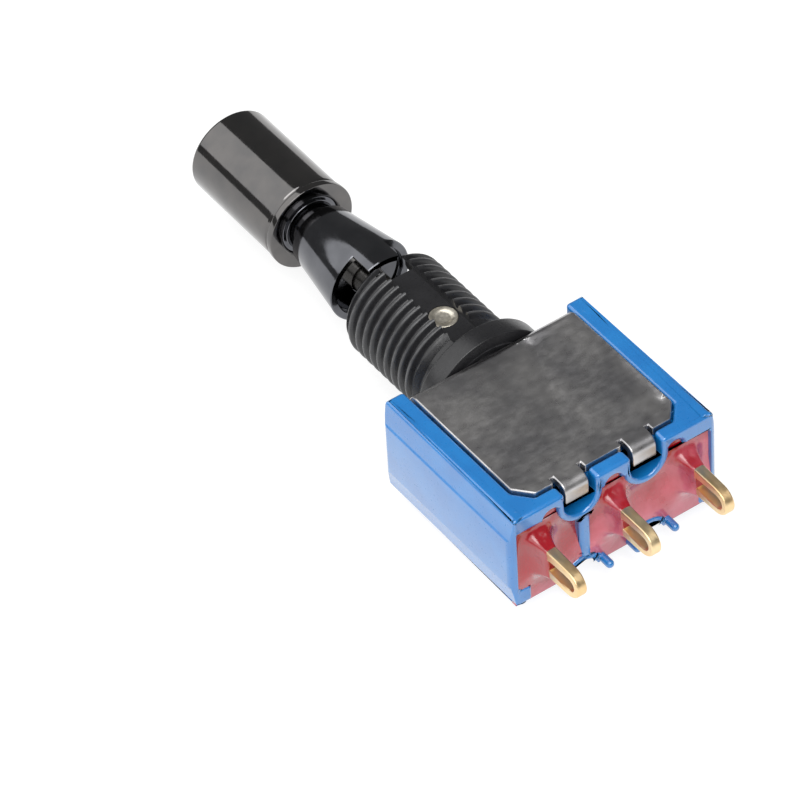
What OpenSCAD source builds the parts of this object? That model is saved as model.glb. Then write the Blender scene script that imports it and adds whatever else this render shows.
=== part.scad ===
// Miniature panel toggle switch with a locking lever.
// Origin: centre of the shoulder's front face, where the panel seats.
// +Y runs out along the lever, +X along the row of terminals, +Z out of the upper frame plate.

/* [Bushing] */
// Outside diameter of the threaded bushing
thread_d = 6.35; // [5.8:0.05:7.7]
// Length of the bushing in front of the panel seat
bushing_len = 7.8; // [6.4:0.1:9.5]
// Diameter of the shoulder behind the panel
shoulder_d = 7.9; // [7:0.1:9.6]
// Thickness of the shoulder
shoulder_t = 1.15; // [0.8:0.05:1.5]
// Width of the anti-rotation keyway
keyway_w = 1.75; // [1.65:0.05:2.2]
// Depth of the keyway below the thread's crest
keyway_depth = 0.78; // [0.4:0.02:0.95]
// Length of the smooth relief beside the shoulder
relief_len = 1.1; // [0.6:0.1:1.5]
// Diameter of the relief, about the root of the thread
relief_d = 5.6; // [5.4:0.05:5.8]

/* [Lever] */
// Swing of the lever to each side, in degrees
throw_deg = 12.5; // [10:0.5:14]
// Distance of the pivot pin in front of the panel seat
pivot_y = 2.88; // [2.5:0.05:3.5]
// Diameter of the pivot pin
pin_d = 1.6; // [1.2:0.05:1.8]
// Diameter of the ball that the lever turns on
ball_d = 3.6; // [3.3:0.05:3.8]
// Diameter of the lever rod
rod_d = 1.7; // [1.4:0.05:1.9]
// Diameter of the lever's inner stem
stem_d = 2.5; // [2.2:0.05:2.6]
// Reach of the inner stem behind the panel seat
stem_reach = 2.2; // [2:0.05:2.4]

/* [Lock] */
// Diameter of the locking sleeve at its skirt
skirt_d = 5.1; // [4.6:0.05:5.6]
// Height of the sleeve's flared skirt
skirt_len = 5.0; // [4:0.1:6]
// Gap between the bushing's rim and the skirt, bridged by the teeth
skirt_gap = 1.85; // [1.5:0.05:2.4]
// Diameter of the sleeve's neck
neck_d = 2.72; // [2.5:0.02:3.1]
// Wall of the skirt at its rim
skirt_wall = 0.42; // [0.3:0.02:0.55]
// Width of each locking tooth
tooth_w = 1.95; // [1.5:0.05:2.3]
// Pull of the cap that frees the lock
lock_travel = 1.4; // [1:0.1:1.8]

/* [Cap] */
// Diameter of the lever cap
cap_d = 4.84; // [4.5:0.02:5.8]
// Length of the lever cap
cap_len = 7.4; // [6.6:0.1:8.9]
// Gap between the skirt's neck and the cap's lower rim
cap_gap = 0.65; // [0.4:0.05:1]
// Rounding of the cap's outer edge
cap_edge_r = 0.3; // [0.1:0.05:0.5]

/* [Case] */
// Width of the case along the terminal row
case_w = 13.2; // [12.4:0.1:15.9]
// Thickness of the case across the wide faces
case_t = 6.2; // [5.6:0.1:7.4]
// Where the case's ears start behind the panel seat
case_front = 0.75; // [0.5:0.05:1]
// Where the case ends behind the panel seat
case_back = 11.85; // [11.4:0.05:14.2]
// Wall round the mechanism
case_wall = 0.66; // [0.5:0.02:0.8]
// Thickness of the case's side wall at the terminal end
end_wall = 0.42; // [0.3:0.02:0.6]

/* [Frame] */
// Width of the steel frame's plates
plate_w = 10.05; // [9.6:0.05:12]
// Thickness of the frame's sheet
sheet_t = 0.55; // [0.4:0.05:0.66]
// Where the plates end behind the panel seat
plate_back = 10.83; // [10.4:0.02:13]
// Spacing of the clamping tabs and their pockets
tab_pitch = 4.2; // [3.8:0.05:5]
// Width of each clamping tab
tab_w = 1.47; // [1.2:0.05:1.8]

/* [Terminals] */
// Spacing of the terminals
lug_pitch = 4.7; // [4.5:0.05:5.6]
// Thickness of each terminal
lug_t = 0.8; // [0.6:0.05:1]
// Width of each terminal
lug_w = 2.0; // [1.6:0.05:2.4]
// Reach of the terminals behind the panel seat
lug_reach = 15.35; // [14.6:0.05:18]
// Width of the solder slot
lug_slot_w = 0.9; // [0.7:0.05:1.1]
// Length of the solder slot
lug_slot_len = 2.3; // [1.6:0.05:2.6]

/* [Fits] */
// Radial clearance of a part that turns or slides
run_gap = 0.05; // [0.03:0.01:0.08]
// Clearance of a part that is fixed in its seat
seat_gap = 0.02; // [0.01:0.01:0.04]
// Least clearance round a swinging part
swing_gap = 0.1; // [0.08:0.01:0.15]

/* [Hidden] */
$fn = 64;
e = 0.01;
mech_gap = 0.05;

// bushing
thread_r = thread_d/2;
keyway_z = thread_r - keyway_depth;
ball_r = ball_d/2;
bore_r = ball_r + 0.08;
rod_r = rod_d/2;
stem_r = stem_d/2;
mouth_r = (bushing_len - pivot_y)*tan(throw_deg) + rod_r/cos(throw_deg) + swing_gap;
mouth_len = 1.8;
undercut = 0.12;
rim_chamfer = 0.15;
tail_r = 2.85;
pin_low = -2.75;
tail_y = -shoulder_t - sheet_t;
flare_r = (pivot_y - tail_y)*tan(throw_deg) + stem_r/cos(throw_deg) + swing_gap;
flare_y = pivot_y - (bore_r - stem_r/cos(throw_deg) - swing_gap)/tan(throw_deg);

// ring seal above the ball
seal_cord_r = 0.3;
seal_polar = 55;
seal_dist = ball_r + 0.04 + seal_cord_r;
seal_y = pivot_y + seal_dist*cos(seal_polar);
seal_mid_r = seal_dist*sin(seal_polar);

// locking teeth stop short of the rim by the swing clearance
tooth_y = pivot_y + (bushing_len - pivot_y + tooth_w/2*sin(throw_deg) + swing_gap)/cos(throw_deg);
skirt_r = skirt_d/2;
skirt_y = bushing_len + skirt_gap;
neck_r = neck_d/2;
neck_y = skirt_y + skirt_len;
slot_depth = 1.0;
slot_w = tooth_w + 2*swing_gap;

// cap and the chamber of the lock spring
cap_r = cap_d/2;
cap_y = neck_y + cap_gap;
cap_top = cap_y + cap_len;
cap_lip = 0.13;
cap_recess = 1.7;
tube_y = cap_y + cap_recess;
tube_r = 1.8;
chamber_r = 1.4;
chamber_y = tube_y + 0.4;
cap_roof = 0.8;
tube_top = cap_top - cap_roof - 0.3;
rivet_t = 0.25;
rivet_r = 0.75;
stub_r = 0.6;
retainer_t = 0.5;
retainer_y = cap_top - cap_roof - 0.5 - rivet_t - retainer_t;
retainer_r = chamber_r - 0.08;
hollow_len = skirt_len - 1.0;

// plunger in the stem
plunger_r = 0.7;
stem_bore_r = plunger_r + run_gap;
stem_y = -stem_reach;
stem_bore_len = 3.1;
plunger_tip_y = stem_y - 1.8;
plunger_top_y = stem_y + 1.0;
plunger_travel = 0.4;

// rocker: its dish follows the plunger's tip over the whole throw
rocker_ratio = 0.4;
rocker_t = 0.45;
rocker_w = 2.0;
dish_y = plunger_tip_y - mech_gap;
rock_y = dish_y - rocker_t;
tip_c = plunger_tip_y + plunger_r;
tip_l = pivot_y - tip_c;
full_x = tip_l*sin(throw_deg);
full_y = pivot_y - tip_l*cos(throw_deg) - rock_y;
rock_deg = throw_deg*rocker_ratio;
turned_x = full_x*cos(rock_deg) - full_y*sin(rock_deg);
turned_y = full_x*sin(rock_deg) + full_y*cos(rock_deg);
rest_y = tip_c - rock_y;
path_r = (turned_x*turned_x + pow(turned_y - rest_y, 2))/(2*(turned_y - rest_y));
dish_r = path_r + plunger_r + mech_gap;
dish_x = 1.9;
arm_y = dish_y + dish_r - sqrt(dish_r*dish_r - dish_x*dish_x);
arm_x = lug_pitch - 0.1;
button_r = 0.6;
button_x = arm_x - button_r;
contact_r = 0.7;
button_t = 0.4;
contact_t = 0.5;
contact_top = arm_y - rocker_t - button_t - (button_x + button_r)*sin(rock_deg) - mech_gap;
foot_t = 0.6;
foot_y = contact_top - contact_t - foot_t;
cradle_t = 0.5;
cradle_y = rock_y - mech_gap;
ear_t = 0.3;

// case
case_x = case_w/2;
case_z = case_t/2;
plate_z = case_z + 0.14;
plate_in = plate_z - sheet_t;
core_z = plate_in - mech_gap;
room_z = core_z - case_wall;
plate_x = plate_w/2;
plate_gap = 0.16;
step_z = 1.74*case_t/6.2;
core_front = -(shoulder_t + sheet_t + mech_gap);
room_front = core_front - 0.8;
room_x = case_x - 0.9;
open_x = case_x - end_wall;
pocket_x = tab_pitch/2;
pocket_r = tab_w/2 + 0.27;
pocket_z = room_z + 0.15;
pocket_wall = 0.4;
pocket_front = -(plate_back - 0.62);
rear_front = pocket_front + 0.5;
notch_r = 0.5;
notch_x = pocket_x + pocket_r + pocket_wall + 0.42;
corner_r = 0.45;
chamfer_x = 0.82;
chamfer_y = 0.97;
bend_r = 0.7;
tab_bend_r = sheet_t + 0.07;
tab_drop = 1.25;
tab_relief = 0.22;
lean = 0.3;
step_in = 0.08;
stem_open_x = (pivot_y - room_front)*tan(throw_deg) + stem_r/cos(throw_deg) + swing_gap;
stem_open_z = stem_r + 0.15;

// base, potting and terminals
base_front = rear_front - 0.05;
base_t = 1.15;
base_back = base_front - base_t;
potting_back = -(case_back - 0.55);
fillet_h = 0.35;

// ---- helpers: profiles laid along the part's axes

// turns a profile of [radius, y] about the lever's axis
module turned() {
    rotate([-90, 0, 0]) rotate_extrude() children();
}

// a rod along Y from y0 to y1
module rod(y0, y1, r, r2 = undef) {
    translate([0, y0, 0]) rotate([-90, 0, 0]) cylinder(h = y1 - y0, r1 = r, r2 = is_undef(r2) ? r : r2);
}

// extrudes a profile of [x, z] from y0 up to y1
module along_y(y0, y1) {
    translate([0, y1, 0]) rotate([90, 0, 0]) linear_extrude(y1 - y0) children();
}

// extrudes a profile of [y, z] across the width w, centred on x
module along_x(x, w) {
    translate([x - w/2, 0, 0]) rotate([90, 0, 90]) linear_extrude(w) children();
}

// extrudes a profile of [x, y] over the height h, centred on z = 0
module along_z(h) {
    translate([0, 0, -h/2]) linear_extrude(h) children();
}

// a box from corner a to corner b
module span(a, b) {
    translate(a) cube(b - a);
}

// a rectangle from corner a to corner b with round corners
module round_rect(a, b, r) {
    translate([a[0] + r, a[1]]) square([b[0] - a[0] - 2*r, b[1] - a[1]]);
    translate([a[0], a[1] + r]) square([b[0] - a[0], b[1] - a[1] - 2*r]);
    for (x = [a[0] + r, b[0] - r], y = [a[1] + r, b[1] - r]) translate([x, y]) circle(r);
}

// a wire coil along Y from y0 to y1, swept as one closed skin
module coil(y0, y1, mid_r, wire_r, turns, sides = 6, steps = 16) {
    rings = turns*steps;
    rise = y1 - y0 - 2*wire_r;
    points = [for (i = [0:rings], j = [0:sides - 1])
        let (a = 360*i/steps, b = 360*j/sides, rr = mid_r + wire_r*cos(b))
        [rr*cos(a), y0 + wire_r + rise*i/rings + wire_r*sin(b), rr*sin(a)]];
    skin = [for (i = [0:rings - 1], j = [0:sides - 1])
        let (k = (j + 1)%sides)
        [i*sides + j, i*sides + k, (i + 1)*sides + k, (i + 1)*sides + j]];
    first = [for (j = [sides - 1:-1:0]) j];
    last = [for (j = [0:sides - 1]) rings*sides + j];
    polyhedron(points, concat(skin, [first, last]));
}

// ---- case, base and frame

// end view of the case: upright sides, then a set-back band that leans inwards to each wide face
module case_section() {
    side = [[case_x - lean, case_z], [case_x - step_in, step_z], [case_x, step_z - step_in]];
    right = concat(side, [for (i = [2:-1:0]) [side[i][0], -side[i][1]]]);
    left = [for (i = [5:-1:0]) [-right[i][0], right[i][1]]];
    polygon(concat(right, left));
}

// plan of a frame plate from its front edge back, with its two clipped corners
module plate_plan(front, grow = 0) {
    w = plate_x + grow;
    b = -plate_back - grow;
    polygon([[-w, front], [w, front], [w, b + chamfer_y], [w - chamfer_x, b], [chamfer_x - w, b],
        [-w, b + chamfer_y]]);
}

// end view of the opening at the terminals: straight walls that wave round the four tab pockets
module mouth_outline(shrink = 0) {
    difference() {
        union() {
            square([2*(open_x - shrink), 2*(room_z - shrink)], center = true);
            for (x = [-notch_x, 0, notch_x], z = [-room_z, room_z])
                translate([x, z]) circle(notch_r - shrink);
        }
        for (x = [-pocket_x, pocket_x], s = [-1, 1])
            pocket_outline(x, s, pocket_r + pocket_wall + shrink);
    }
}

// end view of a tab pocket: a round floor and straight sides up to the wide face
module pocket_outline(x, s, r) {
    translate([x, s*pocket_z]) circle(r);
    translate([x - r, s > 0 ? pocket_z : -case_z - 1]) square([2*r, case_z + 1 - pocket_z]);
}

module case_shell() {
    recess_x = plate_x + plate_gap;
    color("#2f7fc8") difference() {
        intersection() {
            along_y(-case_back, -case_front) case_section();
            along_z(case_t + 1) round_rect([-case_x, -case_back], [case_x, -case_front], corner_r);
        }
        for (s = [-1, 1]) translate([0, 0, s*(core_z + case_t/2)]) along_z(case_t) plate_plan(1, plate_gap);
        span([-recess_x, core_front, -case_t], [recess_x, 1, case_t]);
        span([-room_x, rear_front, -room_z], [room_x, room_front, room_z]);
        span([-stem_open_x, room_front - e, -stem_open_z], [stem_open_x, core_front + e, stem_open_z]);
        along_y(-case_back - 1, rear_front + e) mouth_outline();
        for (x = [-pocket_x, pocket_x], s = [-1, 1])
            along_y(-case_back - 1, pocket_front) pocket_outline(x, s, pocket_r);
    }
}

// the three places where the terminals pass through
module lug_slots(y0, y1, gap) {
    for (x = [-lug_pitch, 0, lug_pitch])
        span([x - lug_t/2 - gap, y0, -lug_w/2 - gap], [x + lug_t/2 + gap, y1, lug_w/2 + gap]);
}

module terminal_base() {
    color("#a52838") difference() {
        along_y(base_back, base_front) mouth_outline(seat_gap);
        lug_slots(base_back - 1, base_front + 1, seat_gap);
    }
}

module potting_seal() {
    color("#b03044") difference() {
        union() {
            along_y(potting_back, base_back) mouth_outline(seat_gap);
            for (x = [-lug_pitch, 0, lug_pitch]) translate([x, 0, 0])
                rod(potting_back - fillet_h, potting_back + e, lug_w/2 + 0.08, lug_w/2 + 0.3);
        }
        lug_slots(potting_back - 1, base_back + 1, seat_gap);
    }
}

// side view of the folded frame: a front wall and two plates, with round bends
module frame_fold() {
    inner_r = bend_r - sheet_t;
    difference() {
        union() {
            translate([-plate_back - e, -plate_z]) square([plate_back + e - shoulder_t - bend_r, 2*plate_z]);
            round_rect([-plate_back, -plate_z], [-shoulder_t, plate_z], bend_r);
        }
        translate([-plate_back - 1, -plate_in]) square([plate_back - shoulder_t - sheet_t - inner_r + 1, 2*plate_in]);
        round_rect([-plate_back, -plate_in], [-shoulder_t - sheet_t, plate_in], inner_r);
    }
}

// side view of one clamping tab, bent down behind the plate's edge
module tab_fold() {
    bend_y = -plate_back - 0.05;
    bend_z = plate_z - tab_bend_r;
    translate([bend_y, plate_in]) square([0.06, sheet_t]);
    intersection() {
        difference() {
            translate([bend_y, bend_z]) circle(tab_bend_r);
            translate([bend_y, bend_z]) circle(tab_bend_r - sheet_t);
        }
        translate([bend_y - tab_bend_r, bend_z]) square(tab_bend_r);
    }
    translate([bend_y - tab_bend_r, plate_z - tab_drop]) square([sheet_t, tab_drop - tab_bend_r]);
}

module frame_bracket() {
    color("#9a9a9c") {
        difference() {
            intersection() {
                along_x(0, plate_w) frame_fold();
                along_z(2*case_t) plate_plan(0);
            }
            rod(-shoulder_t - sheet_t - 1, 0, tail_r + seat_gap);
            for (x = [-pocket_x, pocket_x], s = [-1, 1])
                translate([x + s*(tab_w + tab_relief)/2, 0, 0])
                    span([-tab_relief/2, -plate_back - 1, -case_t], [tab_relief/2, 0.35 - plate_back, case_t]);
        }
        for (x = [-pocket_x, pocket_x], side = [0, 1])
            mirror([0, 0, side]) along_x(x, tab_w) tab_fold();
    }
}

// ---- bushing, pivot and lever

module bushing() {
    shoulder_r = shoulder_d/2;
    slot_z = skirt_r + swing_gap;
    mouth_y = bushing_len - mouth_len;
    groove_r = seal_mid_r + seal_cord_r + seat_gap;
    groove_w = seal_cord_r + 0.03;
    color("#26262a") difference() {
        union() {
            rod(relief_len, bushing_len, thread_r);
            rod(-undercut, relief_len, relief_d/2);
            difference() {
                rod(-shoulder_t, 0, shoulder_r);
                rod(-undercut, e, thread_r + undercut);
            }
            rod(tail_y, -shoulder_t, tail_r);
        }
        rod(tail_y - e, flare_y, flare_r, bore_r);
        rod(flare_y - e, bushing_len, bore_r);
        rod(mouth_y - 0.6, mouth_y, bore_r, mouth_r);
        rod(mouth_y - e, bushing_len + 1, mouth_r);
        rod(bushing_len - rim_chamfer, bushing_len + e, mouth_r, mouth_r + rim_chamfer);
        rod(seal_y - groove_w, seal_y + groove_w, groove_r);
        span([-keyway_w/2, 0, keyway_z], [keyway_w/2, bushing_len + 1, thread_r + 1]);
        span([-slot_w/2, bushing_len - slot_depth, -slot_z], [slot_w/2, bushing_len + 1, slot_z]);
        translate([0, pivot_y, pin_low - seat_gap]) cylinder(h = thread_d, r = pin_d/2 + seat_gap);
    }
}

module pivot_pin() {
    cup_r = pin_d/2 - 0.25;
    color("#cfcac0") translate([0, pivot_y, 0]) difference() {
        translate([0, 0, pin_low]) cylinder(h = keyway_z - pin_low, r = pin_d/2);
        translate([0, 0, keyway_z - 0.12]) cylinder(h = 1, r1 = cup_r - 0.1, r2 = cup_r + 0.7);
    }
}

module bore_seal() {
    color("#303030") turned() translate([seal_mid_r, seal_y]) circle(seal_cord_r);
}

module lever_rod() {
    color("#8c8578") difference() {
        union() {
            translate([0, pivot_y, 0]) sphere(ball_r);
            rod(pivot_y, retainer_y, rod_r);
            rod(retainer_y - e, retainer_y + retainer_t + e, stub_r);
            rod(retainer_y + retainer_t, retainer_y + retainer_t + rivet_t, rivet_r);
            rod(stem_y, pivot_y, stem_r);
        }
        translate([0, pivot_y, -thread_d/2]) cylinder(h = thread_d, r = pin_d/2 + run_gap);
        rod(stem_y - e, stem_y + stem_bore_len, stem_bore_r);
    }
}

// ---- plunger, rocker and contacts

module plunger() {
    color("#e8e4d8") {
        rod(tip_c, plunger_top_y, plunger_r);
        translate([0, tip_c, 0]) sphere(plunger_r);
    }
}

module plunger_spring() {
    color("#b8b8b8") coil(plunger_top_y, stem_y + stem_bore_len, stem_bore_r - 0.2, 0.08, 6);
}

// plan of the rocker: a dished strip with a straight arm to each side
module rocker_plan() {
    intersection() {
        difference() {
            translate([0, dish_y + dish_r]) circle(dish_r + rocker_t);
            translate([0, dish_y + dish_r]) circle(dish_r);
        }
        translate([-dish_x, rock_y - 1]) square([2*dish_x, arm_y - rock_y + 1]);
    }
    for (s = [-1, 1])
        translate([s*(dish_x + arm_x - 0.15)/2, arm_y - rocker_t/2])
            square([arm_x - dish_x + 0.15, rocker_t], center = true);
}

module rocker_contact() {
    color("#d8b060") along_z(rocker_w) rocker_plan();
}

module rocker_button(x) {
    color("#d9d9dc") translate([x, 0, 0]) rod(arm_y - rocker_t - button_t, arm_y - rocker_t, button_r);
}

module rocker_button_left() {
    rocker_button(-button_x);
}

module rocker_button_right() {
    rocker_button(button_x);
}

// a terminal's blade from y = top down to its round, slotted tip
module blade(x, top) {
    tip = -lug_reach + lug_w/2;
    slot_y = tip - 0.15;
    along_x(x, lug_t) difference() {
        union() {
            translate([tip, -lug_w/2]) square([top - tip, lug_w]);
            translate([tip, 0]) circle(lug_w/2);
        }
        translate([slot_y, 0]) circle(lug_slot_w/2);
        translate([slot_y + lug_slot_len - lug_slot_w, 0]) circle(lug_slot_w/2);
        translate([slot_y, -lug_slot_w/2]) square([lug_slot_len - lug_slot_w, lug_slot_w]);
    }
}

// an outer terminal: its blade, and a foot bent inwards under the fixed contact
module end_terminal(side) {
    color("#e0b45a") {
        blade(side*lug_pitch, foot_y + foot_t);
        translate([side*(lug_pitch + lug_t/2), 0, 0]) mirror([side > 0 ? 1 : 0, 0, 0])
            span([0, foot_y, -lug_w/2], [lug_t/2 + lug_pitch - button_x + contact_r, foot_y + foot_t, lug_w/2]);
    }
}

module terminal_left() {
    end_terminal(-1);
}

module terminal_right() {
    end_terminal(1);
}

// the middle terminal: its blade, and a cradle whose ears guide the rocker
module terminal_centre() {
    ear_z = rocker_w/2 + 0.15;
    color("#e0b45a") {
        blade(0, cradle_y - cradle_t + e);
        span([-0.8, cradle_y - cradle_t, -ear_z - ear_t], [0.8, cradle_y, ear_z + ear_t]);
        for (z = [-ear_z - ear_t, ear_z])
            span([-0.8, cradle_y - cradle_t, z], [0.8, cradle_y + 0.7, z + ear_t]);
    }
}

module fixed_contact(x) {
    color("#d9d9dc") translate([x, 0, 0]) rod(contact_top - contact_t, contact_top, contact_r);
}

module contact_left() {
    fixed_contact(-button_x);
}

module contact_right() {
    fixed_contact(button_x);
}

// ---- locking sleeve and cap

module locking_sleeve() {
    wall_r = skirt_r - skirt_wall;
    slide_r = rod_r + run_gap;
    color("#1a1a1c") {
        turned() polygon([[skirt_r, skirt_y], [neck_r, neck_y], [neck_r, tube_y], [tube_r, tube_y],
            [tube_r, tube_top], [chamber_r, tube_top], [chamber_r, chamber_y], [slide_r, chamber_y],
            [slide_r, skirt_y + hollow_len], [wall_r, skirt_y]]);
        intersection() {
            turned() polygon([[wall_r, tooth_y], [skirt_r, tooth_y], [skirt_r, skirt_y + e],
                [wall_r, skirt_y + e]]);
            span([-tooth_w/2, tooth_y - 1, -skirt_d], [tooth_w/2, skirt_y + 1, skirt_d]);
        }
    }
}

module lever_cap() {
    bore = tube_r + seat_gap;
    lip_r = cap_r + cap_lip;
    neck_in = cap_r - 0.07;
    edge = [for (a = [0:15:90]) [cap_r - cap_edge_r + cap_edge_r*cos(a), cap_top - cap_edge_r + cap_edge_r*sin(a)]];
    color("#1a1a1c") turned() polygon(concat(
        [[bore, cap_y + 0.5], [bore + 0.32, cap_y], [lip_r - 0.06, cap_y], [lip_r, cap_y + 0.06],
        [lip_r, cap_y + 0.34], [neck_in, cap_y + 0.42], [neck_in, cap_y + 0.52], [cap_r, cap_y + 0.6]],
        edge, [[0, cap_top], [0, cap_top - cap_roof], [bore, cap_top - cap_roof]]));
}

module lock_spring() {
    color("#b8b8b8") coil(chamber_y, retainer_y, (rod_r + chamber_r)/2, 0.11, 6);
}

module spring_retainer() {
    color("#b0a070") difference() {
        rod(retainer_y, retainer_y + retainer_t, retainer_r);
        rod(retainer_y - 1, retainer_y + retainer_t + 1, stub_r + seat_gap);
    }
}

case_shell();
terminal_base();
potting_seal();
frame_bracket();
bushing();
pivot_pin();
bore_seal();
lever_rod();
plunger();
plunger_spring();
rocker_contact();
rocker_button_left();
rocker_button_right();
terminal_left();
terminal_centre();
terminal_right();
contact_left();
contact_right();
locking_sleeve();
lever_cap();
lock_spring();
spring_retainer();
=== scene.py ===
# %% [markdown]
# # A miniature toggle switch, piece by piece
#
# The switch is a blue moulded case clamped in a folded steel frame, with a black threaded
# bushing, a black locking lever and three gold terminals. The working model comes from a
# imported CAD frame. This script dresses it: it keeps the hidden nodes, and it replaces the
# ones that show with surfaces that have the real thread, rounded edges and resin.

# %% Load the frame
import math

import bmesh
import bpy
import numpy as np
from mathutils import Matrix, Vector
from mathutils.bvhtree import BVHTree


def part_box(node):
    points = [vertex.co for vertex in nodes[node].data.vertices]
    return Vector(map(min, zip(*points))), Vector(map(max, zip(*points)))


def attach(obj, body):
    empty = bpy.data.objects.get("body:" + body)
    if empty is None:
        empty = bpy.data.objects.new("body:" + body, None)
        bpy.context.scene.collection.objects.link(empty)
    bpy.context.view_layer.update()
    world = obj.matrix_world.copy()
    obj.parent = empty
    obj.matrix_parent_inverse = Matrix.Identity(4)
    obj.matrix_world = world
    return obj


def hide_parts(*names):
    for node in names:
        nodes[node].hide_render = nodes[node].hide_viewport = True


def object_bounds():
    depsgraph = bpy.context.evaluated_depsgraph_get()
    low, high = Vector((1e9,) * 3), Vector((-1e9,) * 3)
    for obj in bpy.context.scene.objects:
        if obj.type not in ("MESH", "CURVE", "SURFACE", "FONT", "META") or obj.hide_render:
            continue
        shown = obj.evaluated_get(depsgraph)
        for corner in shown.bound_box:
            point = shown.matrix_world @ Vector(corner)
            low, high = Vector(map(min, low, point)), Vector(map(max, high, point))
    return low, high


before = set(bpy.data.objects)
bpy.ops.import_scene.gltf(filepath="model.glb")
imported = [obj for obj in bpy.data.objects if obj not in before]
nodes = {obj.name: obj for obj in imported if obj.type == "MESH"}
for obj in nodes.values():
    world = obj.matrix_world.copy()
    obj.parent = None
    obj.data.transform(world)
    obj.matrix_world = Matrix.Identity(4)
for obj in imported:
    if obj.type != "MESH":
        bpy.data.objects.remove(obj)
cad_low, cad_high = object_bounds()
MM = 0.001
print("CAD box in mm:", [round(v / MM, 2) for v in (cad_high - cad_low)])

# %% [markdown]
# ## The camera
#
# The switch lies on its side and is seen from above and in front of its terminals, with a
# long lens that keeps its edges nearly parallel. The camera is placed by two angles, a small
# roll and a distance. Its aim is shifted sideways by moving it, not by lens shift, so that
# other views can reuse the same lens.

# %% Camera
VIEW_AZIMUTH, VIEW_ELEVATION, VIEW_ROLL = (math.radians(a) for a in (-33.23, 44.88, -3.52))
VIEW_DISTANCE = 311.5 * MM
FOCAL_LENGTH = 269.82
AIM_RIGHT, AIM_UP = 4.479 * MM, 0.552 * MM
AIM_POINT = Vector((0, -0.75 * MM, 0))


def camera_axes(azimuth, elevation, roll):
    """Right, up and backward axes: back is a point on a unit sphere, right is level,
    and both are then turned about back by the roll."""
    back = Vector((math.sin(azimuth) * math.cos(elevation),
                   -math.cos(azimuth) * math.cos(elevation), math.sin(elevation)))
    level = Vector((math.cos(azimuth), math.sin(azimuth), 0))
    upright = back.cross(level)
    right = level * math.cos(roll) + upright * math.sin(roll)
    up = upright * math.cos(roll) - level * math.sin(roll)
    return right, up, back


right, up, back = camera_axes(VIEW_AZIMUTH, VIEW_ELEVATION, VIEW_ROLL)
camera_data = bpy.data.cameras.new("camera")
camera_data.lens = FOCAL_LENGTH
camera_data.clip_start, camera_data.clip_end = 0.01, 5.0
camera = bpy.data.objects.new("camera", camera_data)
bpy.context.scene.collection.objects.link(camera)
place = Matrix((right, up, back)).transposed().to_4x4()
place.translation = AIM_POINT + back * VIEW_DISTANCE - right * AIM_RIGHT - up * AIM_UP
camera.matrix_world = place
bpy.context.scene.camera = camera
print("camera at mm:", [round(v / MM, 1) for v in place.translation])

# %% [markdown]
# ## Floor and light
#
# Black plated parts and a bright steel plate show what stands round them, so the light is laid
# out for its reflections first. One long panel above the left side draws the grey stripe along
# the cap, and a smaller one above the terminals lights the colours. The world stays dark grey,
# because the steel plate and the dark half of the cap reflect it. The floor is white to the
# camera and in reflections, and still takes a soft shadow.

# %% A helper for nodes
def put(tree, kind, inputs=None, **settings):
    """Adds a node, then sets its properties and its inputs, each to a value or a link."""
    node = tree.nodes.new("ShaderNode" + kind)
    for name, value in settings.items():
        setattr(node, name, value)
    for name, value in (inputs or {}).items():
        if isinstance(value, bpy.types.NodeSocket):
            tree.links.new(value, node.inputs[name])
        else:
            node.inputs[name].default_value = value
    return node


# %% Floor
FLOOR_HALF, FLOOR_MATT, FLOOR_BARE, FLOOR_GLOW = 3.0, 0.8, 0.32, 0.82
floor_low = cad_low.z


def grey(level):
    """A colour with the same linear light in each part."""
    return (level, level, level, 1.0)


def floor_material():
    """A white that glows a little for camera, glossy and transmitted rays, over a matt white."""
    material = bpy.data.materials.new("floor_white")
    material.use_nodes = True
    tree = material.node_tree
    tree.nodes.clear()
    path = put(tree, "LightPath").outputs
    direct = put(tree, "Math", {0: path["Is Camera Ray"], 1: path["Is Glossy Ray"]},
                 operation="MAXIMUM").outputs[0]
    seen = put(tree, "Math", {0: direct, 1: path["Is Transmission Ray"]},
               operation="MAXIMUM").outputs[0]
    matt = put(tree, "BsdfDiffuse", {"Color": grey(FLOOR_MATT)}).outputs[0]
    bare = put(tree, "BsdfDiffuse", {"Color": grey(FLOOR_BARE)}).outputs[0]
    glow = put(tree, "Emission", {"Strength": FLOOR_GLOW}).outputs[0]
    lit = put(tree, "AddShader", {0: bare, 1: glow}).outputs[0]
    mix = put(tree, "MixShader", {0: seen, 1: matt, 2: lit}).outputs[0]
    put(tree, "OutputMaterial", {"Surface": mix})
    return material


corners = np.array([(-1, -1, 0), (1, -1, 0), (1, 1, 0), (-1, 1, 0)]) * FLOOR_HALF
floor_mesh = bpy.data.meshes.new("floor")
floor_mesh.from_pydata(corners + (0, 0, floor_low), [], [(0, 1, 2, 3)])
floor_mesh.materials.append(floor_material())
floor = bpy.data.objects.new("floor", floor_mesh)
bpy.context.scene.collection.objects.link(floor)
print("floor at mm:", round(floor_low / MM, 2))

# %% World and panels
WORLD_GREY = 0.16


def white_seen_world(level):
    """A world of one grey for light and reflections, and white where the camera sees it."""
    world = bpy.data.worlds.new("studio")
    world.use_nodes = True
    tree = world.node_tree
    tree.nodes.clear()
    seen = put(tree, "LightPath").outputs["Is Camera Ray"]
    dim = put(tree, "Background", {"Color": grey(level)}).outputs[0]
    white = put(tree, "Background", {"Color": grey(1.0)}).outputs[0]
    mix = put(tree, "MixShader", {0: seen, 1: dim, 2: white}).outputs[0]
    put(tree, "OutputWorld", {"Surface": mix})
    return world


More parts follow.
